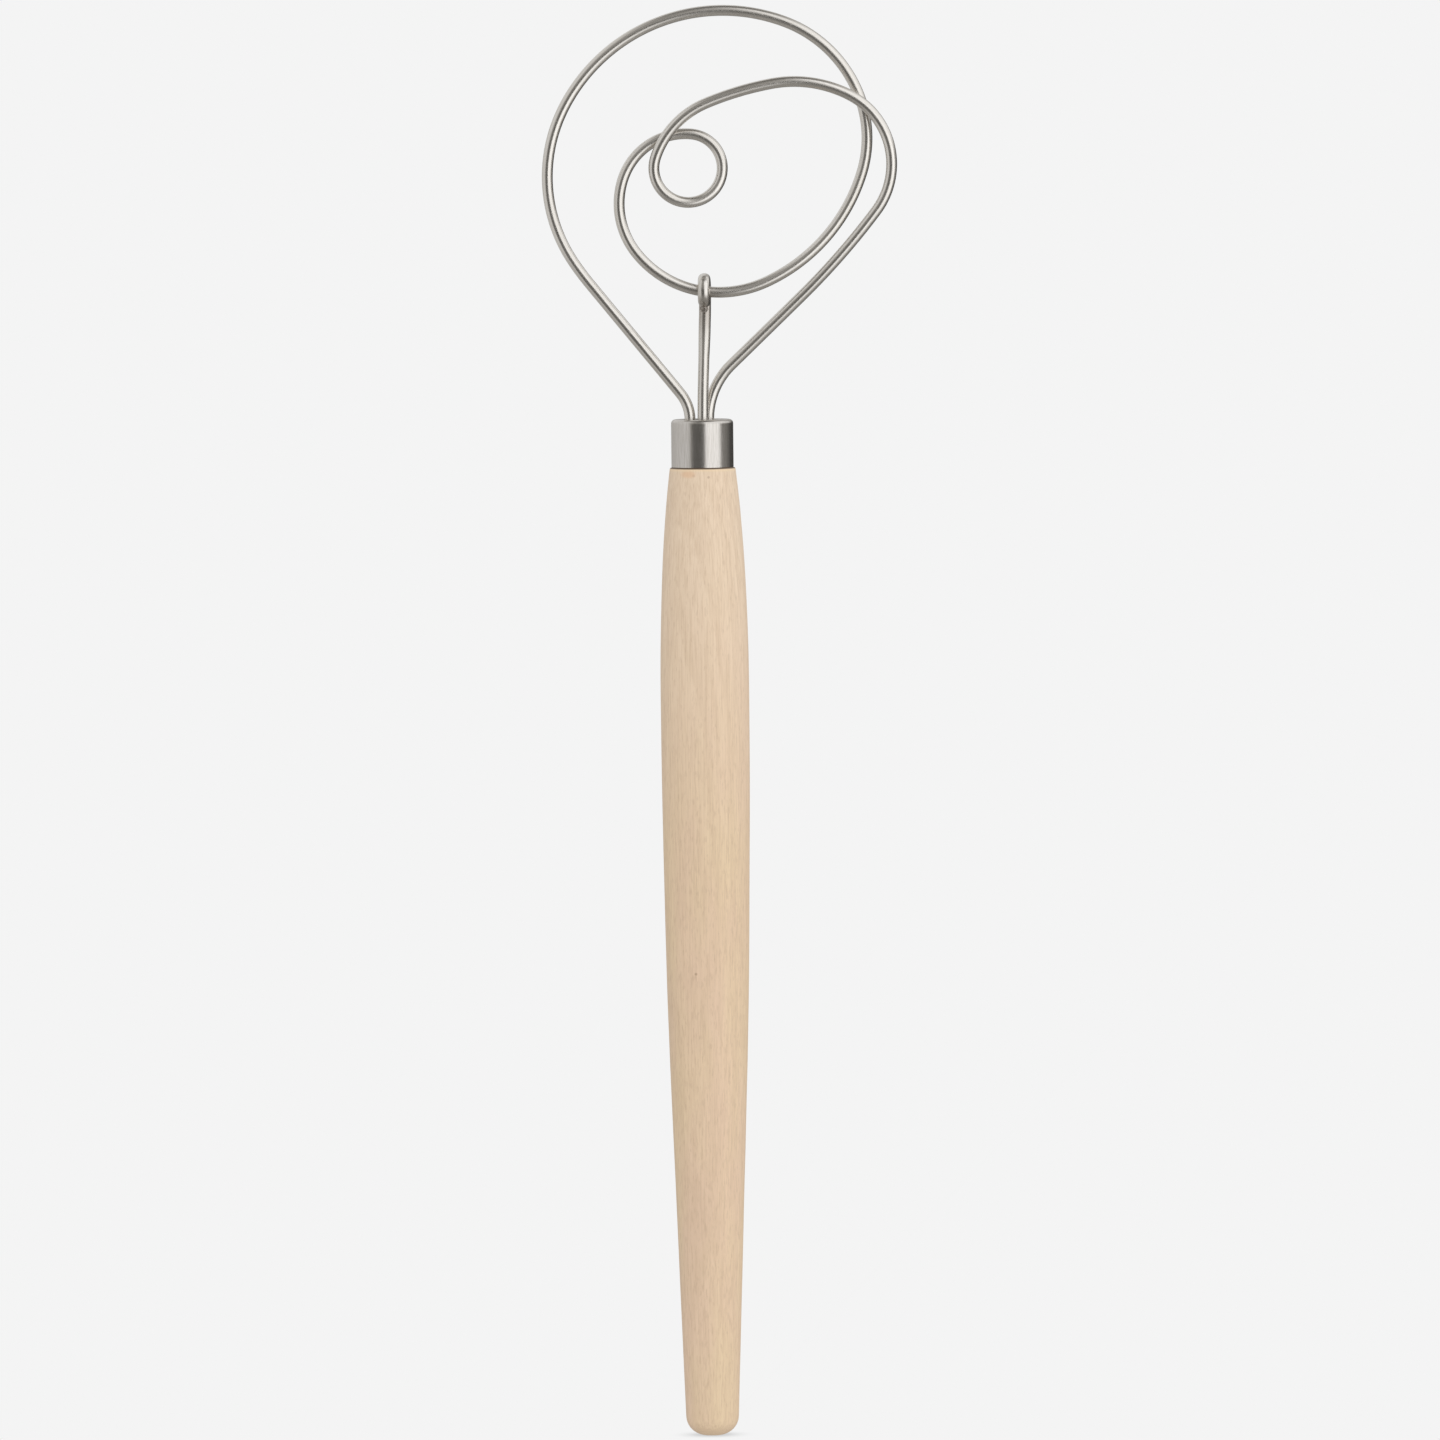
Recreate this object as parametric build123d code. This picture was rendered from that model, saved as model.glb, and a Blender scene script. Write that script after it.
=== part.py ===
from build123d import *

import math
import os

# Danish dough whisk: a bent-wire head, hooked to a centre post, on a turned wooden handle.
#
# Units are millimetres. The whisk stands upright on its butt: +Z runs up the handle to the wire
# head, the flat of the head lies in the XZ plane and its front faces -Y. The origin is the centre
# of the small sanded flat on the handle's butt.
#
# One wire makes the whole head. It leaves the ferrule on the left, makes the large outer loop,
# turns in to the inner loop, curls round the small eye, comes back in front of itself and returns
# to the ferrule on the right. A second wire, the post, hooks round the inner loop, and a tack
# weld closes its hook. Both wires run down through the ferrule's mouth into a blind bore in the
# handle, where cast epoxy holds them.

# ---------------------------------------------------------------- driving dimensions
HANDLE_LENGTH = 250.0  # butt to shoulder
FERRULE_DIAMETER = 16.0
FERRULE_LENGTH = 12.4
FERRULE_WALL = 0.6
FERRULE_CORNER = 1.1  # drawn corner between the tube and the top
WIRE_DIAMETER = 2.8
GRIP_DIAMETER = 22.8  # the handle's fattest place
BUTT_DIAMETER = 13.6

BORE_DIAMETER = 9.2
BORE_DEPTH = 40.0  # full-width bore below the shoulder
DRILL_POINT_ANGLE = 118.0
TENON_GAP = 0.02  # glue line between tenon and ferrule
TENON_CHAMFER = 0.8
MOUTH_CLEARANCE = 0.15  # ferrule mouth to bore, on the radius
MOUTH_EDGE = 0.2  # round on the mouth's upper edge
RIM_BREAK = 0.12  # chamfer on the ferrule's lower rim
TANG_LENGTH = 36.0  # wire below the shoulder
RESIN_BELOW_TOP = 0.2  # the resin stops this far below the ferrule's top

# Where each tang stands in the bore, seen from above.
LEFT_TANG = (-3.1, 0.2)
RIGHT_TANG = (1.7, 1.55)
POST_TANG = (0.25, -0.95)

# The head wire, bend by bend, starting upwards from the left tang: name, bend radius, turn in
# degrees (anticlockwise is positive, seen from the front) and the wire's slope towards the rear
# where the bend ends. A straight has no radius and no turn, and the two straights take the
# lengths that bring the wire back to the right tang.
HEAD_BENDS = [
    ("left neck", 11.0, 39, 0.0),
    ("left flank", None, 0, 0.0),
    ("outer shoulder", 68.0, -6, 0.005),
    ("outer side", 39.2, -61, 0.012),
    ("outer crown", 45.8, -83, 0.01),
    ("outer turn, to the rear of the crossing", 32.8, -51.5, 0.0),
    ("outer turn, below the crossing", 30.2, -35, -0.035),
    ("inner flank", 45.6, -48.5, -0.04),
    ("inner belly, to the hook", 29.2, -32, -0.01),
    ("inner belly, past the hook", 26.8, -43.5, 0.02),
    ("inner side", 20.4, -58, 0.03),
    ("inner crown", 16.8, -76.5, 0.005),
    ("small eye, off the inner loop", 8.8, -94, -0.068),
    ("small eye, to its own front", 8.8, -189, -0.073),
    ("eye exit, in front of the inner crown", 23.0, -49, 0.02),
    ("bridge", 84.0, -12, 0.03),
    ("front crown", 31.2, -38, 0.02),
    ("front turn, in front of the outer turn", 20.0, -99.5, 0.015),
    ("front ease", 197.0, -8.5, 0.055),
    ("right flank", None, 0, 0.055),
    ("right neck", 19.4, 46, 0.0),
]
HOOKED_BEND = "inner belly, to the hook"  # the post hooks the wire where this bend ends
ARC_TURN = 60.0  # a bend that turns more than this, in degrees, is drawn as several arcs

# The post's hook: an eye that runs up behind the head wire, over it, down its front and back
# under it to the post, where a weld bead closes it. Angles are seen from the left, from the rear.
HOOK_SLACK = 0.35  # from the hooked wire to the inside of the eye, if they were concentric
HOOK_LIFT = 0.25  # the eye's centre stands this far above the hooked wire's
HOOK_YAW = 3.5  # the eye's rear stands to the right of its front by this much
HOOK_START = -5.0  # the post reaches the eye leaning to the rear by this much
HOOK_END = 286.0
WELD_SIZE = (0.95, 0.75, 1.15)  # half widths of the weld bead in X, Y and Z
WELD_PLACE = (-0.35, 0.95, -4.4)  # its centre, from the middle of the hooked wire

# The handle's profile, from the butt to the shoulder.
BUTT_FLAT_RADIUS = 2.5
BUTT_DOME_EDGE = (4.2, 0.62)  # radius and height where the dome meets the corner round
BUTT_CORNER_TOP = 4.8
TAPER_TOP = 98.0  # the straight taper from the butt ends here
TAPER_TOP_RADIUS = 10.05
SWELL = [(10.95, 140.0), (GRIP_DIAMETER / 2, 181.0), (10.72, 222.0)]  # radius and height
SHOULDER_SLOPE = (-0.12, 0, 1)  # direction of the side where it reaches the shoulder
SHOULDER_ROUND = 0.5

# ---------------------------------------------------------------- derived dimensions
WIRE_RADIUS = WIRE_DIAMETER / 2
FERRULE_RADIUS = FERRULE_DIAMETER / 2
FERRULE_INSIDE = FERRULE_RADIUS - FERRULE_WALL
FERRULE_TOP = HANDLE_LENGTH + FERRULE_LENGTH
FERRULE_CEILING = FERRULE_TOP - FERRULE_WALL
BORE_RADIUS = BORE_DIAMETER / 2
BORE_FLOOR = HANDLE_LENGTH - BORE_DEPTH
BORE_POINT = BORE_FLOOR - BORE_RADIUS / math.tan(math.radians(DRILL_POINT_ANGLE / 2))
MOUTH_RADIUS = BORE_RADIUS + MOUTH_CLEARANCE
TENON_RADIUS = FERRULE_INSIDE - TENON_GAP
TENON_TOP = FERRULE_CEILING - TENON_GAP
TANG_END = HANDLE_LENGTH - TANG_LENGTH
NECK = FERRULE_TOP - RESIN_BELOW_TOP  # the wires start to bend here
BUTT_RADIUS = BUTT_DIAMETER / 2
SHOULDER_RADIUS = FERRULE_RADIUS + SHOULDER_ROUND
HOOK_RADIUS = WIRE_DIAMETER + HOOK_SLACK


def at(radius, height):
    """A point of a turned part's profile."""
    return (radius, 0, height)


def smooth_curve(points, start_tangent, end_tangent):
    """A spline through the points, with its tangents set at both ends."""
    return Spline(*points, tangents=[start_tangent, end_tangent], tangent_scalars=[1, 1])


def turned(*edges):
    """The solid that a closed profile in the XZ plane makes, turned about Z."""
    return revolve(make_face(Curve() + edges), Axis.Z, 360)


# ---------------------------------------------------------------- handle and ferrule
def make_handle():
    """The turned wooden handle, with a tenon for the ferrule and a blind bore for the wires."""
    flat_edge = at(BUTT_FLAT_RADIUS, 0)
    dome_edge = at(*BUTT_DOME_EDGE)
    corner_top = at(BUTT_RADIUS, BUTT_CORNER_TOP)
    taper_top = at(TAPER_TOP_RADIUS, TAPER_TOP)
    shoulder = at(SHOULDER_RADIUS, HANDLE_LENGTH - SHOULDER_ROUND)
    ledge_edge = at(FERRULE_RADIUS, HANDLE_LENGTH)
    tenon_foot = at(TENON_RADIUS, HANDLE_LENGTH)
    tenon_side = at(TENON_RADIUS, TENON_TOP - TENON_CHAMFER)
    tenon_edge = at(TENON_RADIUS - TENON_CHAMFER, TENON_TOP)
    bore_mouth = at(BORE_RADIUS, TENON_TOP)
    bore_foot = at(BORE_RADIUS, BORE_FLOOR)
    bore_point = at(0, BORE_POINT)

    taper = Line(corner_top, taper_top)
    corner = TangentArc(corner_top, dome_edge, tangent=-(taper % 0))
    dome = TangentArc(dome_edge, flat_edge, tangent=corner % 1)
    swell_points = [at(radius, height) for radius, height in SWELL]
    swell = smooth_curve([taper_top, *swell_points, shoulder], taper % 1, SHOULDER_SLOPE)
    return turned(
        dome,
        corner,
        taper,
        swell,
        TangentArc(shoulder, ledge_edge, tangent=SHOULDER_SLOPE),
        Polyline(ledge_edge, tenon_foot, tenon_side, tenon_edge, bore_mouth, bore_foot, bore_point),
        Polyline(bore_point, at(0, 0), flat_edge),
    )


def make_ferrule():
    """The drawn steel cap: a tube with a rounded corner, a flat top and a round mouth."""
    inside_corner = FERRULE_CORNER - FERRULE_WALL
    corner_foot = at(FERRULE_RADIUS, FERRULE_TOP - FERRULE_CORNER)
    corner_head = at(FERRULE_RADIUS - FERRULE_CORNER, FERRULE_TOP)
    mouth_edge = at(MOUTH_RADIUS + MOUTH_EDGE, FERRULE_TOP)
    mouth_side = at(MOUTH_RADIUS, FERRULE_TOP - MOUTH_EDGE)
    mouth_foot = at(MOUTH_RADIUS, FERRULE_CEILING)
    inside_head = at(FERRULE_INSIDE - inside_corner, FERRULE_CEILING)
    inside_foot = at(FERRULE_INSIDE, FERRULE_CEILING - inside_corner)
    rim_inside = at(FERRULE_INSIDE, HANDLE_LENGTH)
    rim_edge = at(FERRULE_RADIUS - RIM_BREAK, HANDLE_LENGTH)
    rim_outside = at(FERRULE_RADIUS, HANDLE_LENGTH + RIM_BREAK)
    return turned(
        Polyline(rim_inside, rim_edge, rim_outside, corner_foot),
        TangentArc(corner_foot, corner_head, tangent=(0, 0, 1)),
        Line(corner_head, mouth_edge),
        TangentArc(mouth_edge, mouth_side, tangent=(-1, 0, 0)),
        Polyline(mouth_side, mouth_foot, inside_head),
        TangentArc(inside_head, inside_foot, tangent=(1, 0, 0)),
        Line(inside_foot, rim_inside),
    )


# ---------------------------------------------------------------- the wires
def tang(place):
    """The straight end of a wire, up through the bore to the neck."""
    return Line((*place, TANG_END), (*place, NECK))


def rod(centreline):
    """A round wire along edges that follow each other, the first one straight up."""
    section = Plane(origin=centreline[0] @ 0, z_dir=(0, 0, 1)) * Circle(WIRE_RADIUS)
    return sweep(section, path=Wire(centreline))


def bend_end(point, heading, radius, turn):
    """The point and heading, in degrees, where a flat bend ends."""
    side = math.copysign(1, turn)
    start_angle = math.radians(heading)
    end_angle = math.radians(heading + turn)
    x = point[0] + side * radius * (math.sin(end_angle) - math.sin(start_angle))
    z = point[1] - side * radius * (math.cos(end_angle) - math.cos(start_angle))
    return (x, z), heading + turn


def flank_lengths():
    """The lengths of the two straights that bring the head wire back to the right tang."""
    point, heading = (LEFT_TANG[0], NECK), 90.0
    directions = []
    for _, radius, turn, _ in HEAD_BENDS:
        if radius is None:
            directions.append(math.radians(heading))
        else:
            point, heading = bend_end(point, heading, radius, turn)
    left, right = directions
    gap_x = RIGHT_TANG[0] - point[0]
    gap_z = NECK - point[1]
    scale = math.sin(right - left)
    return [
        (gap_x * math.sin(right) - gap_z * math.cos(right)) / scale,
        (gap_z * math.cos(left) - gap_x * math.sin(left)) / scale,
    ]


def arc_rise(radius, turn, first_slope, last_slope):
    """How far an arc moves towards the rear while its slope goes from the first to the last."""
    angle = math.radians(abs(turn))
    bend = (last_slope - first_slope * math.cos(angle)) / math.sin(angle)
    return radius * (first_slope * math.sin(angle) + bend * (1 - math.cos(angle)))


def closing_curve(start, radius, turn):
    """The last bend: a curve from the end of this edge down to the right tang."""
    reach = 4 / 3 * math.tan(math.radians(turn) / 4) * radius
    end = Vector(*RIGHT_TANG, NECK)
    return Bezier(start @ 1, start @ 1 + (start % 1) * reach, end + Vector(0, 0, reach), end)


def head_edges():
    """The head wire's centreline from the foot of the left tang to the right neck, as arcs and
    straights that are tangent to each other, and the point on it that the hook grips."""
    straights = iter(flank_lengths())
    heading = 90.0
    edges = [tang(LEFT_TANG)]
    for name, radius, turn, last_slope in HEAD_BENDS[:-1]:
        first_slope = (edges[-1] % 1).Y
        arcs = max(1, math.ceil(abs(turn) / ARC_TURN))
        for arc in range(1, arcs + 1):
            start, direction = edges[-1] @ 1, edges[-1] % 1
            if radius is None:
                edges.append(Line(start, start + direction * next(straights)))
                continue
            point, heading = bend_end((start.X, start.Z), heading, radius, turn / arcs)
            slope = first_slope + (last_slope - first_slope) * arc / arcs
            depth = start.Y + arc_rise(radius, turn / arcs, direction.Y, slope)
            edges.append(TangentArc(start, (point[0], depth, point[1]), tangent=direction))
        if name == HOOKED_BEND:
            grip = edges[-1] @ 1
    _, radius, turn, _ = HEAD_BENDS[-1]
    edges.append(closing_curve(edges[-1], radius, turn))
    return edges, grip


def make_loop_wire():
    """The head: one wire from the left tang, round all its loops, to the right tang."""
    edges, _ = head_edges()
    right_tang = Line((*RIGHT_TANG, NECK), (*RIGHT_TANG, TANG_END))
    return rod([*edges, right_tang])


def hook_plane(grip):
    """The plane of the hook's eye: its X points to the rear and its Y straight up."""
    yaw = math.radians(HOOK_YAW)
    middle = grip + Vector(0, 0, HOOK_LIFT)
    to_rear = (math.sin(yaw), math.cos(yaw), 0)
    to_right = (math.cos(yaw), -math.sin(yaw), 0)
    return Plane(origin=middle, x_dir=to_rear, z_dir=to_right)


def hook_centreline(grip):
    """The post's centreline from its tang to the tip of its eye."""
    eye = hook_plane(grip) * CenterArc((0, 0), HOOK_RADIUS, HOOK_START, HOOK_END - HOOK_START)
    post_tang = tang(POST_TANG)
    post = smooth_curve([post_tang @ 1, eye @ 0], (0, 0, 1), eye % 0)
    return [post_tang, post, eye]


def make_hook_wire():
    """The centre post, with its eye bent round the inner loop."""
    _, grip = head_edges()
    return rod(hook_centreline(grip))


def make_hook_tack_weld(hook_wire):
    """The bead that closes the eye: it lies between the wire's tip and the post's front."""
    _, grip = head_edges()
    bead = Pos(*(grip + Vector(*WELD_PLACE))) * scale(Sphere(1), by=WELD_SIZE)
    return bead - hook_wire


def make_bore_resin():
    """The cast epoxy: it fills the bore and the ferrule's mouth round the three tangs."""
    resin = turned(
        Polyline(
            at(0, BORE_POINT),
            at(BORE_RADIUS, BORE_FLOOR),
            at(BORE_RADIUS, NECK),
            at(0, NECK),
            at(0, BORE_POINT),
        )
    )
    length = NECK - TANG_END
    for place in (LEFT_TANG, RIGHT_TANG, POST_TANG):
        resin -= Pos(*place, TANG_END + length / 2) * Cylinder(WIRE_RADIUS, length)
    return resin


# ---------------------------------------------------------------- run
hook_wire = make_hook_wire()
pieces = {
    "handle": make_handle(),
    "ferrule": make_ferrule(),
    "loop_wire": make_loop_wire(),
    "hook_wire": hook_wire,
    "hook_tack_weld": make_hook_tack_weld(hook_wire),
    "bore_resin": make_bore_resin(),
}
os.makedirs("parts", exist_ok=True)
for name, piece in pieces.items():
    export_step(piece, f"parts/{name}.step")
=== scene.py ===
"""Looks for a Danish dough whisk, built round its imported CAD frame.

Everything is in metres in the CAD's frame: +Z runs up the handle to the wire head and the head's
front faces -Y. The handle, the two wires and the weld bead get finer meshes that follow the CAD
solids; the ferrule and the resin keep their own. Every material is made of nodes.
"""

import math

import bmesh
import bpy
import numpy as np
from mathutils import Matrix, Vector, noise
from mathutils.kdtree import KDTree


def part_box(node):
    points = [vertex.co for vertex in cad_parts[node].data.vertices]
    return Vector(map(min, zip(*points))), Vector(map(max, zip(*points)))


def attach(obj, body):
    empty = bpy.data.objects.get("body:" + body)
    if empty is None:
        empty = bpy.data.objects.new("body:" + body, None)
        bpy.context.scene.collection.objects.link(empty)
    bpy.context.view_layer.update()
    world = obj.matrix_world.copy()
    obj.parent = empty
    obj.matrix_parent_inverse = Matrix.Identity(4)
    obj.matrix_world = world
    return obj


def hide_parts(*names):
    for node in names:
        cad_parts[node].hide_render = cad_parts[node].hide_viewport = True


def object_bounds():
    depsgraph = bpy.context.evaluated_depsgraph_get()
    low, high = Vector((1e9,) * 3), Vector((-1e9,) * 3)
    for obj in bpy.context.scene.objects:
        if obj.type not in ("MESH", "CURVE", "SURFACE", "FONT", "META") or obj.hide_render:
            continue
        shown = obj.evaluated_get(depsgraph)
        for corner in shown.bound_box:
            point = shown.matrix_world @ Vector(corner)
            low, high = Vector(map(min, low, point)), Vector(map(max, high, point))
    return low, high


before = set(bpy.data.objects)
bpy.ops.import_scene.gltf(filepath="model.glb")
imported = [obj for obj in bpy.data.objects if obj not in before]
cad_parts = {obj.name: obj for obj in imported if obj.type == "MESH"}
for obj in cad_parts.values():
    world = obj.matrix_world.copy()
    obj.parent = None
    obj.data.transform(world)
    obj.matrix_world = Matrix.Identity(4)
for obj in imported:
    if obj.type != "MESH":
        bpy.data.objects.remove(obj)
cad_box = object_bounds()

MM = 0.001

# ---------------------------------------------------------------- sizes
WIRE_RADIUS = 1.4 * MM
WIRE_SIDES = 32
WIRE_STEP = 0.5 * MM  # between two rings of a wire
MEETING_RADIUS = 0.03 * MM  # the normals of a CAD wire meet this closely on its centreline
MEETING_COUNT = 12  # and at least this many corners have normals that meet
SAME_NORMAL = 0.001  # the normals of a flat face's corners differ by less than this
CENTRE_SPACING = 0.3 * MM  # between two centres that are read from a CAD wire, at least
TURN_PENALTY = 8  # how strongly a step that turns away counts as a longer one
LEAST_STRAIGHT = 0.01  # the least that the cosine of its turn counts for
EASING = 8  # passes

WIRE_EDGE = 0.7 * MM  # radius of the ground edge round each end
WIRE_EDGE_RINGS = 7
EDGE_MARGIN = 1.2  # the first ring past an edge lies at least this many radii of it from the end
PRESSED_WIDER = 0.1  # the hook was pressed while it was welded: its wire is wider and flatter
PRESSED_NEAR = 6 * MM  # by this share up to this far from the weld
PRESSED_FAR = 14 * MM  # and round again from here on

LATHE_SIDES = 160
LATHE_STEP = 0.9 * MM  # between two rings of a turned piece, at most
SHARP = math.radians(35)  # a corner that turns more than this stays a corner
TOUCHING = 0.001 * MM
HANDLE_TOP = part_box("ferrule")[0].z  # where the handle's wood ends and the ferrule starts
BORE_RADIUS = 5 * MM
SANDING = 0.04 * MM  # how far the hand-sanded handle strays from round
SANDING_SPACING = 16 * MM
SANDED_FADE = 8 * MM  # the straying fades out over this distance from either end

WELD_SUBDIVISIONS = 5
WELD_SPREAD = 1.25  # the bead ran this much wider than the CAD bead
WELD_RUN = (0.25 * MM, -0.4 * MM, 0.15 * MM)  # and this far over the hook's tip
WELD_REACH = 0.9  # of the bead's skin from its middle, before its lumps and dimples
LUMP_RATE = 1.3
LUMP_HEIGHT = 0.16
DIMPLE_RATE = 2.9
DIMPLE_START = Vector((5, 1, 7))
DIMPLE_LEVEL = 0.25
DIMPLE_DEPTH = 0.9

# ---------------------------------------------------------------- looks
WIRE_LIGHT = (0.84, 0.81, 0.77, 1)
WIRE_DARK = (0.72, 0.69, 0.64, 1)
STEEL_LIGHT = (0.69, 0.66, 0.63, 1)
STEEL_DARK = (0.58, 0.55, 0.51, 1)
HEAT_TINT = (0.33, 0.28, 0.24, 1)
WOOD_STRAW = (0.83, 0.64, 0.42, 1)
WOOD_ROSY = (0.83, 0.61, 0.44, 1)
# painted light: the wood's colour at the top of the handle, painted paler as if lit more from above
WOOD_PAINTED_TOP_LIGHT = (0.89, 0.71, 0.53, 1)
WOOD_LATE = (0.62, 0.45, 0.30, 1)
WOOD_FLECK = (0.52, 0.37, 0.25, 1)
WOOD_KNOT = (0.30, 0.18, 0.10, 1)
WOOD_STAIN = (0.80, 0.48, 0.27, 1)
WOOD_END = (0.50, 0.35, 0.23, 1)
# painted highlight on the handle's rounded shoulder just below the ferrule
WOOD_RIM_HIGHLIGHT = (0.93, 0.72, 0.46, 1)
# painted shade: a dark line in the crease right under the ferrule
WOOD_GAP_SHADE = (0.10, 0.06, 0.035, 1)
RESIN_DARK = (0.02, 0.016, 0.012, 1)
RESIN_LIGHT = (0.05, 0.04, 0.03, 1)

# The wood's figure, in millimetres. Its rings lie round the tree's middle, a leaning line.
RING_SPACING = 2.3
RING_WANDER = 7
PITH_X = 6
PITH_Y = 26
PITH_LEAN_X = 0.02
PITH_LEAN_Y = -0.03
TOP_LIGHT_FROM = 130  # painted light: the wood is painted paler and its pores fainter from this height, as if lit more towards the top
TOP_LIGHT_TO = 250  # up to this one
FRONT_DEPTH = 4  # the spots are on the front: they fade out from this depth to the middle

# Spots of the wood's front: middle (x, z), half width, half height, strength and colour.
SPOTS = (
    (-2.3, 248.1, 0.5, 0.5, 0.25, WOOD_KNOT),
    (1.5, 247.7, 0.5, 0.5, 0.35, WOOD_KNOT),
    (-3.7, 248.5, 2.6, 1.4, 0.5, WOOD_STAIN),
    (-3.05, 119.9, 0.5, 0.5, 0.5, WOOD_KNOT),
)

# Light levels round the whisk, by direction in degrees to the right of its front.
SOFT_LIGHT = ((-180, 0.95), (-90, 0.45), (-20, 1.08), (60, 1.36), (110, 1.25), (180, 0.95))
WALLS = (
    (-180, 0.3), (-160, 0.5), (-100, 0.66), (-50, 0.71), (-38, 0.13), (8, 0.12), (13, 1.23),
    (67, 1.23), (75, 0.27), (105, 0.2), (125, 0.07), (165, 0.06), (180, 0.3),
)
HIGH_WALLS = (
    (-180, 0.75), (-60, 0.72), (-30, 0.26), (4, 0.28), (13, 1.12), (65, 1.08),
    (95, 0.95), (125, 0.85), (150, 0.3), (180, 0.75),
)
CEILING = (0.15, 0.15, 0.15, 1)
GROUND = (0.3, 0.3, 0.3, 1)
SHADE_TINT = (1.03, 1.0, 0.95, 1)  # of the darker walls
WHITE = (1, 1, 1, 1)

# The camera's image is a square a little taller than the whisk, seen from far away.
CAMERA_DISTANCE = 4.0
CAMERA_ELEVATION = 3.0
CAMERA_ROLL = -0.6
IMAGE_MARGIN = 1.0061  # image height over whisk height
IMAGE_SHIFT = (-1.33 * MM, 0, 0.37 * MM)  # of the image's centre, from the middle of the whisk's box
SENSOR = 36.0

PALE = 0.905  # of the floor and the backdrop
FLOOR_RADIUS = 30.0
FLOOR_SHADE = 6 * MM  # how far the foot's shade reaches


# ---------------------------------------------------------------- meshes
def new_piece(name, points, faces, material):
    """A smooth mesh object that rides with the whisk."""
    mesh = bpy.data.meshes.new(name)
    mesh.from_pydata([tuple(point) for point in points], [], faces)
    mesh.update()
    mesh.shade_smooth()
    mesh.set_sharp_from_angle(angle=SHARP)
    mesh.materials.append(material)
    piece = bpy.data.objects.new(name, mesh)
    bpy.context.scene.collection.objects.link(piece)
    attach(piece, "root")
    return piece


def ring_faces(rings, sides):
    """Quads between neighbouring rings of vertices that are stored ring by ring."""
    faces = []
    for ring in range(rings - 1):
        for side in range(sides):
            a = ring * sides + side
            b = ring * sides + (side + 1) % sides
            faces.append((a, b, b + sides, a + sides))
    return faces


def wire_centres(node):
    """Points on a CAD wire's centreline, in no order: where the normals of its tube meet."""
    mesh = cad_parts[node].data
    places = np.zeros(len(mesh.vertices) * 3, np.float32)
    mesh.vertices.foreach_get("co", places)
    corners = np.zeros(len(mesh.loops), np.int32)
    mesh.loops.foreach_get("vertex_index", corners)
    normals = np.zeros(len(mesh.loops) * 3, np.float32)
    mesh.corner_normals.foreach_get("vector", normals)
    normals = normals.reshape(-1, 3, 3)
    points = places.reshape(-1, 3)[corners].reshape(-1, 3, 3) - WIRE_RADIUS * normals
    spread = np.abs(normals - normals[:, :1]).max(axis=(1, 2))
    points = points[spread > SAME_NORMAL].reshape(-1, 3)  # the flat ends are left out
    tree = KDTree(len(points))
    for index, point in enumerate(points):
        tree.insert(point, index)
    tree.balance()
    used = np.zeros(len(points), bool)
    centres = []
    for index, point in enumerate(points):
        meeting = [found for _, found, _ in tree.find_range(point, MEETING_RADIUS)]
        if used[index] or len(meeting) < MEETING_COUNT:
            continue
        used[[found for _, found, _ in tree.find_range(point, CENTRE_SPACING)]] = True
        centres.append(Vector(points[meeting].mean(axis=0)))
    return centres


def walk(centres):
    """The centres in order along the wire, which starts at the lowest one and leads straight up."""
    rest = sorted(centres, key=lambda centre: (round(centre.z, 5), centre.x))
    path = [rest.pop(0)]
    heading = Vector((0, 0, 1))
    while rest:
        steps = [centre - path[-1] for centre in rest]
        cosines = [max(step.normalized().dot(heading), LEAST_STRAIGHT) for step in steps]
        reaches = [step.length / cosine**TURN_PENALTY for step, cosine in zip(steps, cosines)]
        nearest = reaches.index(min(reaches))
        heading = steps[nearest].normalized()
        path.append(rest.pop(nearest))
    return path


def curve_through(points, step):
    """A smooth curve through these points, as an array of points no further apart than a step."""
    points = [Vector(point) for point in points]
    before = [points[0]] + points[:-1]
    after = points[1:] + [points[-1]]
    headings = [(b - a).normalized() for a, b in zip(before, after)]
    curve = [points[0]]
    for index in range(len(points) - 1):
        length = (points[index + 1] - points[index]).length
        count = math.ceil(length / step)
        for t in np.linspace(0, 1, count + 1)[1:]:
            curve.append(
                points[index] * (2 * t**3 - 3 * t**2 + 1)
                + headings[index] * (length * (t**3 - 2 * t**2 + t))
                + points[index + 1] * (3 * t**2 - 2 * t**3)
                + headings[index + 1] * (length * (t**3 - t**2))
            )
    return np.array(curve)


def eased(points, passes):
    """The same run of points with its small kinks averaged out and its ends kept."""
    points = points.copy()
    for _ in range(passes):
        points[1:-1] = (points[:-2] + 2 * points[1:-1] + points[2:]) / 4
    return points


def wire_path(node):
    """A CAD wire's centreline, evenly stepped."""
    path = curve_through(walk(wire_centres(node)), WIRE_STEP)
    once = eased(path, EASING)
    return 2 * once - eased(once, EASING)  # easing alone would tighten the bends


def along_wire(path, edge, edge_rings):
    """(centre, radius, distance along) for each ring of a wire whose two ends have rounded edges."""
    lengths = np.linalg.norm(np.diff(path, axis=0), axis=1)
    distances = np.concatenate([[0], np.cumsum(lengths)])
    angles = np.linspace(0, math.pi / 2, edge_rings)
    near = edge * (1 - np.cos(angles))
    margin = edge * EDGE_MARGIN
    inner = distances[(distances > margin) & (distances < distances[-1] - margin)]
    stations = np.concatenate([near, inner, distances[-1] - near[::-1]])
    radii = np.full(len(stations), WIRE_RADIUS)
    radii[:edge_rings] -= edge * (1 - np.sin(angles))
    radii[-edge_rings:] -= edge * (1 - np.sin(angles[::-1]))
    centres = np.stack([np.interp(stations, distances, path[:, axis]) for axis in range(3)], axis=1)
    return centres, radii, stations


def box_centre(node):
    low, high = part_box(node)
    return (low + high) / 2


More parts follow.
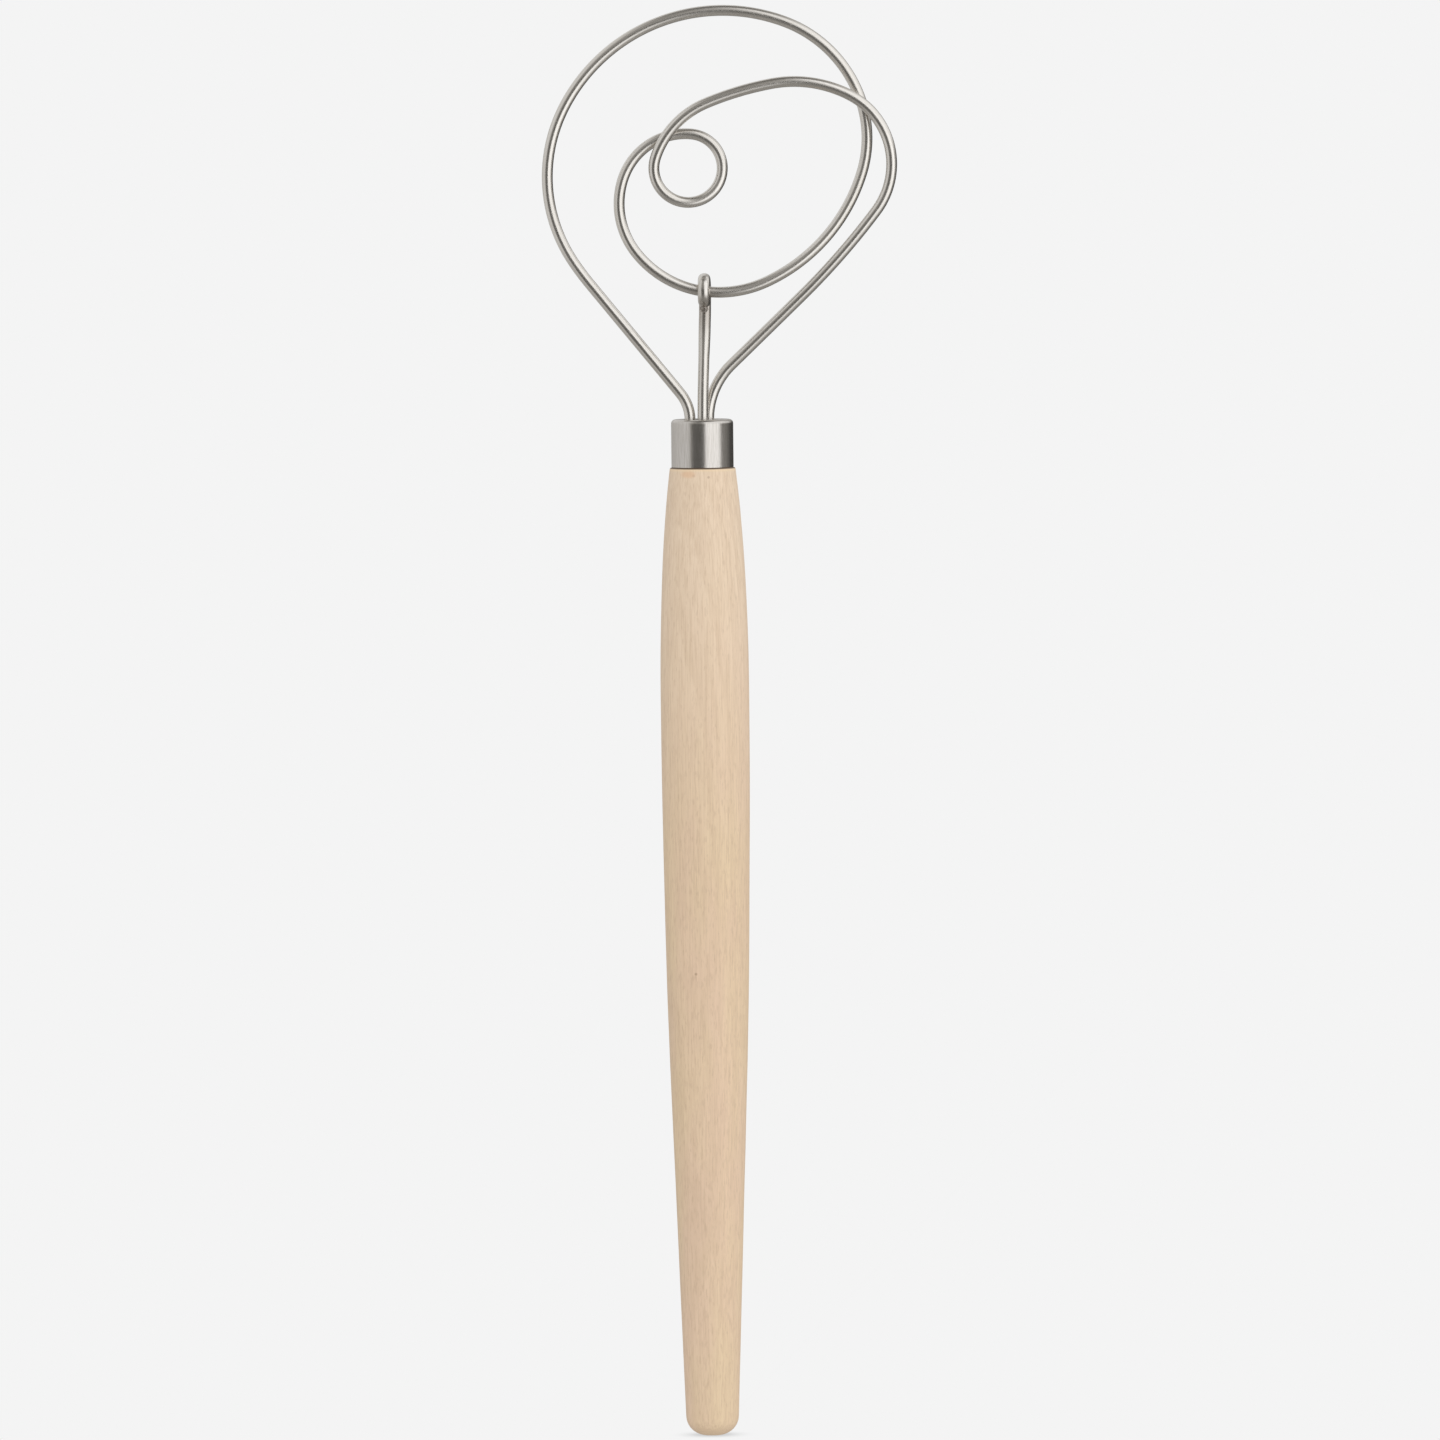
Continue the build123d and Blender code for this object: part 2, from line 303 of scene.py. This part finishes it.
def pressed(centre, weld):
    """How many times wider than it was drawn the hook's wire is at this place."""
    near = (PRESSED_FAR - (centre - weld).length) / (PRESSED_FAR - PRESSED_NEAR)
    near = min(1, max(0, near))
    return 1 + PRESSED_WIDER * near**2 * (3 - 2 * near)


def new_wire(name, node, material, weld=None):
    """A drawn wire on a CAD wire's centreline, pressed flat round its weld if it has one. The
    point attribute wire_place is the place on the wire as if it were straight: two distances
    across it and one along it."""
    centres, radii, stations = along_wire(wire_path(node), WIRE_EDGE, WIRE_EDGE_RINGS)
    tangents = np.gradient(centres, stations, axis=0)
    side = Vector((1, 0, 0))
    points = []
    places = []
    for centre, radius, station, tangent in zip(centres, radii, stations, tangents):
        tangent = Vector(tangent).normalized()
        side = (side - tangent * side.dot(tangent)).normalized()
        other = tangent.cross(side)
        wider = pressed(Vector(centre), weld) if weld else 1
        for angle in np.linspace(0, 2 * math.pi, WIRE_SIDES, endpoint=False):
            across = radius * math.cos(angle) * wider
            out = radius * math.sin(angle) / wider
            points.append(Vector(centre) + side * across + other * out)
            places.append((across, out, station))
    faces = ring_faces(len(centres), WIRE_SIDES)
    faces.append(tuple(reversed(range(WIRE_SIDES))))
    faces.append(tuple(range(len(points) - WIRE_SIDES, len(points))))
    piece = new_piece(name, points, faces, material)
    attribute = piece.data.attributes.new("wire_place", "FLOAT_VECTOR", "POINT")
    attribute.data.foreach_set("vector", np.array(places, np.float32).ravel())
    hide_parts(node)


def turned_outline(node):
    """Corners (radius, height) of a turned CAD node, from the rim of its foot to its last corner."""
    mesh = bmesh.new()
    mesh.from_mesh(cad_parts[node].data)
    bmesh.ops.remove_doubles(mesh, verts=mesh.verts, dist=TOUCHING)
    rest = {v for v in mesh.verts if abs(v.co.y) < TOUCHING and v.co.x > -TOUCHING}
    current = min(rest, key=lambda v: (round(v.co.z, 6), v.co.x))
    outline = []
    while current:
        outline.append(Vector((current.co.x, current.co.z)))
        rest.discard(current)
        neighbours = [edge.other_vert(current) for edge in current.link_edges]
        current = next((v for v in neighbours if v in rest), None)
    mesh.free()
    return outline


def smooth_outline(outline, step):
    """The outline with curves through its gentle bends and its sharp corners kept."""
    corners = [0]
    for index in range(1, len(outline) - 1):
        before = outline[index] - outline[index - 1]
        after = outline[index + 1] - outline[index]
        if before.angle(after) > SHARP:
            corners.append(index)
    corners.append(len(outline) - 1)
    smooth = [(outline[0].x, outline[0].y)]
    for first, last in zip(corners, corners[1:]):
        stretch = [(corner.x, corner.y, 0) for corner in outline[first : last + 1]]
        smooth.extend((x, z) for x, z, _ in curve_through(stretch, step)[1:])
    return smooth


def sanded(point):
    """A point of the handle's skin, moved in or out by the unevenness that hand sanding leaves."""
    radius = Vector((point.x, point.y)).length
    if radius < BORE_RADIUS or point.z > HANDLE_TOP - SANDED_FADE:
        return point
    fade = min(1, point.z / SANDED_FADE, (HANDLE_TOP - SANDED_FADE - point.z) / SANDED_FADE)
    unevenness = noise.noise(point / SANDING_SPACING) * SANDING * fade
    return Vector((point.x, point.y, 0)) * (1 + unevenness / radius) + Vector((0, 0, point.z))


def new_handle(material):
    """The turned handle. Its foot and the bottom of its bore are closed by flat faces."""
    outline = smooth_outline(turned_outline("handle"), LATHE_STEP)
    outline = [(radius, height) for radius, height in outline if radius > TOUCHING]
    points = []
    for radius, height in outline:
        for angle in np.linspace(0, 2 * math.pi, LATHE_SIDES, endpoint=False):
            across = radius * math.cos(angle)
            out = radius * math.sin(angle)
            points.append(sanded(Vector((across, out, height))))
    faces = ring_faces(len(outline), LATHE_SIDES)
    faces.append(tuple(reversed(range(LATHE_SIDES))))
    faces.append(tuple(range(len(points) - LATHE_SIDES, len(points))))
    piece = new_piece("turned_handle", points, faces, material)
    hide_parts("handle")


def bead_reach(direction):
    """How far the bead's skin lies from its middle in this direction, as a share of its size."""
    lumps = noise.fractal(direction * LUMP_RATE, 1.0, 2.0, 3)
    dimples = max(0, noise.noise(direction * DIMPLE_RATE + DIMPLE_START) - DIMPLE_LEVEL)
    return min(1, WELD_REACH + LUMP_HEIGHT * lumps - DIMPLE_DEPTH * dimples)


def new_weld(material):
    """The tack weld: a bead that set with a few lumps and small dimples."""
    half = (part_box("hook_tack_weld")[1] - box_centre("hook_tack_weld")) * WELD_SPREAD
    centre = box_centre("hook_tack_weld") + Vector(WELD_RUN)
    bead = bmesh.new()
    bmesh.ops.create_icosphere(bead, subdivisions=WELD_SUBDIVISIONS, radius=1)
    points = []
    for vertex in bead.verts:
        skin = Vector(a * b for a, b in zip(half, vertex.co))
        points.append(centre + skin * bead_reach(vertex.co))
    faces = [tuple(vertex.index for vertex in face.verts) for face in bead.faces]
    bead.free()
    piece = new_piece("tack_weld_bead", points, faces, material)
    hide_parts("hook_tack_weld")


# ---------------------------------------------------------------- materials
class Nodes:
    """Makes shader nodes in one tree. An input is a number, a colour or another node's output."""

    def __init__(self, tree):
        self.tree = tree
        tree.nodes.clear()

    def add(self, kind, inputs=None, **settings):
        made = self.tree.nodes.new("ShaderNode" + kind)
        for name, value in settings.items():
            setattr(made, name, value)
        for name, value in (inputs or {}).items():
            if isinstance(value, bpy.types.NodeSocket):
                self.tree.links.new(value, made.inputs[name])
            else:
                made.inputs[name].default_value = value
        return made

    def maths(self, operation, *values, clamp=False):
        inputs = dict(enumerate(values))
        return self.add("Math", inputs, operation=operation, use_clamp=clamp).outputs[0]

    def vector(self, operation, first, second):
        return self.add("VectorMath", {0: first, 1: second}, operation=operation).outputs[0]

    def distance(self, first, second):
        made = self.add("VectorMath", {0: first, 1: second}, operation="DISTANCE")
        return made.outputs["Value"]

    def noise(self, place, scales, detail=2, roughness=0.5):
        """Noise from 0 to 1 with this many lumps per unit of place along each axis."""
        inputs = {"Vector": self.vector("MULTIPLY", place, scales), "Scale": 1}
        inputs.update({"Detail": detail, "Roughness": roughness})
        return self.add("TexNoise", inputs).outputs["Fac"]

    def between(self, value, low, high, at_low=0, at_high=1):
        """A value's smooth step from one result below a low mark to another above a high mark."""
        inputs = {"Value": value, "From Min": low, "From Max": high}
        inputs.update({"To Min": at_low, "To Max": at_high})
        return self.add("MapRange", inputs, interpolation_type="SMOOTHSTEP").outputs[0]

    def mix(self, amount, first, second, blend="MIX"):
        made = self.add("Mix", {0: amount, 6: first, 7: second}, data_type="RGBA", blend_type=blend)
        return made.outputs[2]

    def ramp(self, value, stops, interpolation="LINEAR"):
        """A grey level for each value, from (value, level) stops."""
        made = self.add("ValToRGB", {0: value})
        made.color_ramp.interpolation = interpolation
        elements = made.color_ramp.elements
        while len(elements) < len(stops):
            elements.new(0.5)
        for element, (position, level) in zip(elements, stops):
            element.position = position
            element.color = (level, level, level, 1)
        return made.outputs[0]


def finish_material(nodes, colour, metallic, roughness, height, depth):
    """Joins a surface's colour, roughness and bump; depth is the height of the bumps in metres."""
    bump = nodes.add("Bump", {"Strength": 1, "Distance": depth, "Height": height})
    inputs = {"Base Color": colour, "Metallic": metallic, "Roughness": roughness}
    surface = nodes.add("BsdfPrincipled", {**inputs, "Normal": bump.outputs[0]})
    nodes.add("OutputMaterial", {"Surface": surface.outputs[0]})


def new_material(name):
    material = bpy.data.materials.new(name)
    material.use_nodes = True
    return material, Nodes(material.node_tree)


def millimetres(nodes, place):
    return nodes.vector("MULTIPLY", place, (1 / MM, 1 / MM, 1 / MM))


def object_place(nodes):
    """The place on the whisk, in millimetres."""
    return millimetres(nodes, nodes.add("TexCoord").outputs["Object"])


def drawn_steel():
    """Stainless wire: fine lines from the drawing die, a satin polish and small dull scuffs."""
    material, nodes = new_material("drawn_steel")
    along = nodes.add("Attribute", attribute_name="wire_place", attribute_type="GEOMETRY")
    place = millimetres(nodes, along.outputs["Vector"])
    fine_lines = nodes.noise(place, (9, 9, 0.12), detail=3)
    broad_lines = nodes.noise(place, (2.2, 2.2, 0.04))
    scuffs = nodes.between(nodes.noise(place, (1.6, 1.6, 0.9), detail=4), 0.55, 0.75)
    colour = nodes.mix(nodes.between(broad_lines, 0.3, 0.7), WIRE_DARK, WIRE_LIGHT)
    colour = nodes.mix(nodes.maths("MULTIPLY", scuffs, 0.35), colour, WIRE_DARK)
    heat = nodes.distance(object_place(nodes), box_centre("hook_tack_weld") / MM)
    colour = nodes.mix(nodes.between(heat, 1.6, 9, 0.5, 0), colour, HEAT_TINT)
    roughness = nodes.maths("MULTIPLY_ADD", fine_lines, 0.12, 0.18)
    roughness = nodes.maths("MULTIPLY_ADD", scuffs, 0.12, roughness)
    finish_material(nodes, colour, 1, roughness, fine_lines, 0.004 * MM)
    return material


def pressed_steel():
    """The ferrule's tube: brushed along its length, with a grainy satin polish."""
    material, nodes = new_material("pressed_steel")
    place = object_place(nodes)
    brushing = nodes.noise(place, (5, 5, 0.25), detail=3)
    grain = nodes.noise(place, (4, 4, 2.5), detail=4, roughness=0.7)
    colour = nodes.mix(nodes.between(brushing, 0.3, 0.7), STEEL_DARK, STEEL_LIGHT)
    colour = nodes.mix(nodes.between(grain, 0.35, 0.7, 0, 0.5), colour, STEEL_LIGHT)
    roughness = nodes.maths("MULTIPLY_ADD", grain, 0.16, 0.14)
    height = nodes.maths("MULTIPLY_ADD", grain, 0.5, brushing)
    finish_material(nodes, colour, 1, roughness, height, 0.012 * MM)
    return material


def weld_steel():
    """Steel that melted and set: dull, rippled and tinted by the heat."""
    material, nodes = new_material("weld_steel")
    place = object_place(nodes)
    ripples = nodes.noise(place, (3, 3, 6), detail=3)
    colour = nodes.mix(nodes.between(ripples, 0.35, 0.65), HEAT_TINT, STEEL_DARK)
    roughness = nodes.maths("MULTIPLY_ADD", ripples, 0.25, 0.25)
    finish_material(nodes, colour, 1, roughness, ripples, 0.05 * MM)
    return material


def cured_resin():
    """Dark glossy resin with a faintly uneven top."""
    material, nodes = new_material("cured_resin")
    place = object_place(nodes)
    swirls = nodes.noise(place, (0.8, 0.8, 0.8), detail=3)
    colour = nodes.mix(swirls, RESIN_DARK, RESIN_LIGHT)
    roughness = nodes.maths("MULTIPLY_ADD", swirls, 0.2, 0.2)
    finish_material(nodes, colour, 0, roughness, swirls, 0.1 * MM)
    return material


def growth_rings(nodes, place):
    """Bands from 0 to 1 round the tree's middle, which lies behind the handle."""
    split = nodes.add("SeparateXYZ", {0: place}).outputs
    wander = nodes.noise(place, (0.06, 0.06, 0.012))
    across = nodes.maths("MULTIPLY_ADD", split[2], -PITH_LEAN_X, split[0])
    across = nodes.maths("SUBTRACT", across, PITH_X)
    behind = nodes.maths("MULTIPLY_ADD", split[2], -PITH_LEAN_Y, split[1])
    behind = nodes.maths("SUBTRACT", behind, PITH_Y)
    squares = nodes.maths("ADD", nodes.maths("POWER", across, 2), nodes.maths("POWER", behind, 2))
    distance = nodes.maths("SQRT", squares)
    distance = nodes.maths("MULTIPLY_ADD", wander, RING_WANDER, distance)
    turn = nodes.maths("FRACT", nodes.maths("DIVIDE", distance, RING_SPACING))
    return nodes.ramp(turn, ((0, 0), (0.75, 0.8), (0.93, 1), (1, 0)))


def with_spots(nodes, place, colour):
    """The wood's colour with the pin knots and the stain of its front."""
    forward = nodes.add("SeparateXYZ", {0: place}).outputs[1]
    front = nodes.between(forward, -FRONT_DEPTH, 0, 1, 0)
    for x, z, half_width, half_height, strength, spot_colour in SPOTS:
        offset = nodes.vector("SUBTRACT", place, (x, 0, z))
        squash = (1 / half_width, 0, 1 / half_height)
        reach = nodes.distance(nodes.vector("MULTIPLY", offset, squash), (0, 0, 0))
        amount = nodes.maths("MULTIPLY", nodes.between(reach, 0.3, 1, strength, 0), front)
        colour = nodes.mix(amount, colour, spot_colour)
    return colour


def beech_wood():
    """Pale sanded beech: faint growth rings, fibres, pores, ray flecks, pin knots and a stain. Painted
    light makes it paler towards the top, with a painted highlight on the shoulder's edge and painted
    shade in the crease under the ferrule.
    """
    material, nodes = new_material("beech_wood")
    place = object_place(nodes)
    height = nodes.add("SeparateXYZ", {0: place}).outputs[2]
    fibres = nodes.noise(place, (2.6, 2.6, 0.06), detail=4, roughness=0.65)
    pores = nodes.between(nodes.noise(place, (2.2, 2.2, 0.4), detail=3), 0.5, 0.72)
    # painted light: the pores are painted fainter towards the top, along with the painted paler top
    pores = nodes.maths("MULTIPLY", pores, nodes.between(height, TOP_LIGHT_FROM, TOP_LIGHT_TO, 0.5, 0.15))
    patches = nodes.noise(place, (0.09, 0.09, 0.022))
    flecks = nodes.between(nodes.noise(place, (1.5, 1.5, 0.38), detail=1), 0.6, 0.72)
    colour = nodes.mix(nodes.between(patches, 0.3, 0.7), WOOD_ROSY, WOOD_STRAW)
    # painted light: the wood is painted paler towards the top
    colour = nodes.mix(nodes.between(height, TOP_LIGHT_FROM, TOP_LIGHT_TO), colour, WOOD_PAINTED_TOP_LIGHT)
    colour = nodes.mix(nodes.maths("MULTIPLY", growth_rings(nodes, place), 0.18), colour, WOOD_LATE)
    colour = nodes.mix(nodes.between(fibres, 0.37, 0.7, 0, 0.45), colour, WOOD_LATE)
    colour = nodes.mix(nodes.maths("MULTIPLY", flecks, 0.22), colour, WOOD_FLECK)
    colour = nodes.mix(pores, colour, WOOD_LATE)
    colour = with_spots(nodes, place, colour)
    normal = nodes.add("NewGeometry").outputs["Normal"]
    upward = nodes.add("SeparateXYZ", {0: normal}).outputs[2]
    colour = nodes.mix(nodes.between(upward, -0.9, -0.2, 0.45, 0), colour, WOOD_END)
    rim = nodes.maths("SUBTRACT", height, HANDLE_TOP / MM)
    # painted highlight on the shoulder's rounded edge just below the ferrule
    colour = nodes.mix(nodes.between(rim, -1.1, -0.6, 0, 0.5), colour, WOOD_RIM_HIGHLIGHT)
    # painted shade in the crease right under the ferrule
    colour = nodes.mix(nodes.between(rim, -0.36, -0.18, 0, 0.9), colour, WOOD_GAP_SHADE)
    roughness = nodes.maths("MULTIPLY_ADD", fibres, 0.16, 0.46)
    finish_material(nodes, colour, 0, roughness, fibres, 0.05 * MM)
    return material


# ---------------------------------------------------------------- light, floor and camera
def band_position(degrees):
    """Where a direction round the whisk lies on a ramp: 0 behind, 0.5 in front, 1 behind again."""
    return 0.5 + degrees / 360


def light_world():
    """A pale backdrop, soft light that is stronger from the right, and a studio's bright and dark
    walls, which only the shiny parts reflect."""
    world = bpy.data.worlds.new("studio")
    world.use_nodes = True
    nodes = Nodes(world.node_tree)
    bpy.context.scene.world = world
    direction = nodes.add("SeparateXYZ", {0: nodes.add("TexCoord").outputs["Generated"]}).outputs
    front = nodes.maths("MULTIPLY", direction[1], -1)
    angle = nodes.maths("ARCTAN2", direction[0], front)
    turn = nodes.maths("MULTIPLY_ADD", angle, 0.5 / math.pi, 0.5)
    soft = nodes.ramp(turn, [(band_position(a), level) for a, level in SOFT_LIGHT], "B_SPLINE")
    walls = nodes.ramp(turn, [(band_position(a), level) for a, level in WALLS])
    high_walls = nodes.ramp(turn, [(band_position(a), level) for a, level in HIGH_WALLS])
    rise = direction[2]
    room = nodes.mix(nodes.between(rise, 0.05, 0.38), walls, high_walls)
    room = nodes.mix(nodes.between(rise, 0.8, 0.98), room, CEILING)
    room = nodes.mix(nodes.between(rise, -0.85, -0.3, 1, 0), room, GROUND)
    tint = nodes.mix(nodes.between(room, 0.2, 0.9), SHADE_TINT, WHITE)
    room = nodes.mix(1, room, tint, "MULTIPLY")
    light = nodes.add("LightPath").outputs
    colour = nodes.mix(light["Is Glossy Ray"], soft, room)
    colour = nodes.mix(light["Is Camera Ray"], colour, (PALE, PALE, PALE, 1))
    sky = nodes.add("Background", {"Color": colour, "Strength": 1})
    nodes.add("OutputWorld", {"Surface": sky.outputs[0]})


def pale_floor():
    """A wide floor in the backdrop's colour, darker only where the whisk's foot shades it."""
    mesh = bpy.data.meshes.new("floor")
    disc = bmesh.new()
    bmesh.ops.create_circle(disc, cap_ends=True, segments=64, radius=FLOOR_RADIUS)
    disc.to_mesh(mesh)
    disc.free()
    floor = bpy.data.objects.new("floor", mesh)
    bpy.context.scene.collection.objects.link(floor)
    floor.location.z = cad_box[0][2]
    floor.visible_glossy = False
    floor.visible_diffuse = False
    material, nodes = new_material("pale_floor")
    shade = nodes.add("AmbientOcclusion", {"Distance": FLOOR_SHADE}, samples=16).outputs["AO"]
    level = nodes.maths("MULTIPLY", nodes.between(shade, 0, 1, 0.7, 1), PALE)
    glow = nodes.add("Emission", {"Color": level, "Strength": 1})
    nodes.add("OutputMaterial", {"Surface": glow.outputs[0]})
    mesh.materials.append(material)


def front_camera():
    """A long lens in front of the whisk, a little above its middle."""
    low, high = (Vector(corner) for corner in cad_box)
    target = (low + high) / 2 + Vector(IMAGE_SHIFT)
    elevation = math.radians(CAMERA_ELEVATION)
    back = Vector((0, -math.cos(elevation), math.sin(elevation)))
    data = bpy.data.cameras.new("camera")
    data.sensor_width = SENSOR
    data.lens = SENSOR * CAMERA_DISTANCE / ((high.z - low.z) * IMAGE_MARGIN)
    data.clip_end = 2 * FLOOR_RADIUS
    camera = bpy.data.objects.new("camera", data)
    bpy.context.scene.collection.objects.link(camera)
    turn = back.to_track_quat("Z", "Y").to_matrix() @ Matrix.Rotation(math.radians(CAMERA_ROLL), 3, "Z")
    camera.matrix_world = Matrix.Translation(target + back * CAMERA_DISTANCE) @ turn.to_4x4()
    bpy.context.scene.camera = camera


def repaint(node, material):
    """A CAD node keeps its shape and gets a finished material."""
    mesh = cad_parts[node].data
    mesh.materials.clear()
    mesh.materials.append(material)


# ---------------------------------------------------------------- the scene
bpy.context.scene.view_settings.view_transform = "Standard"
wire_material = drawn_steel()
new_wire("mixing_loops", "loop_wire", wire_material)
new_wire("post_and_hook", "hook_wire", wire_material, box_centre("hook_tack_weld"))
new_handle(beech_wood())
new_weld(weld_steel())
repaint("ferrule", pressed_steel())
repaint("bore_resin", cured_resin())
light_world()
pale_floor()
front_camera()
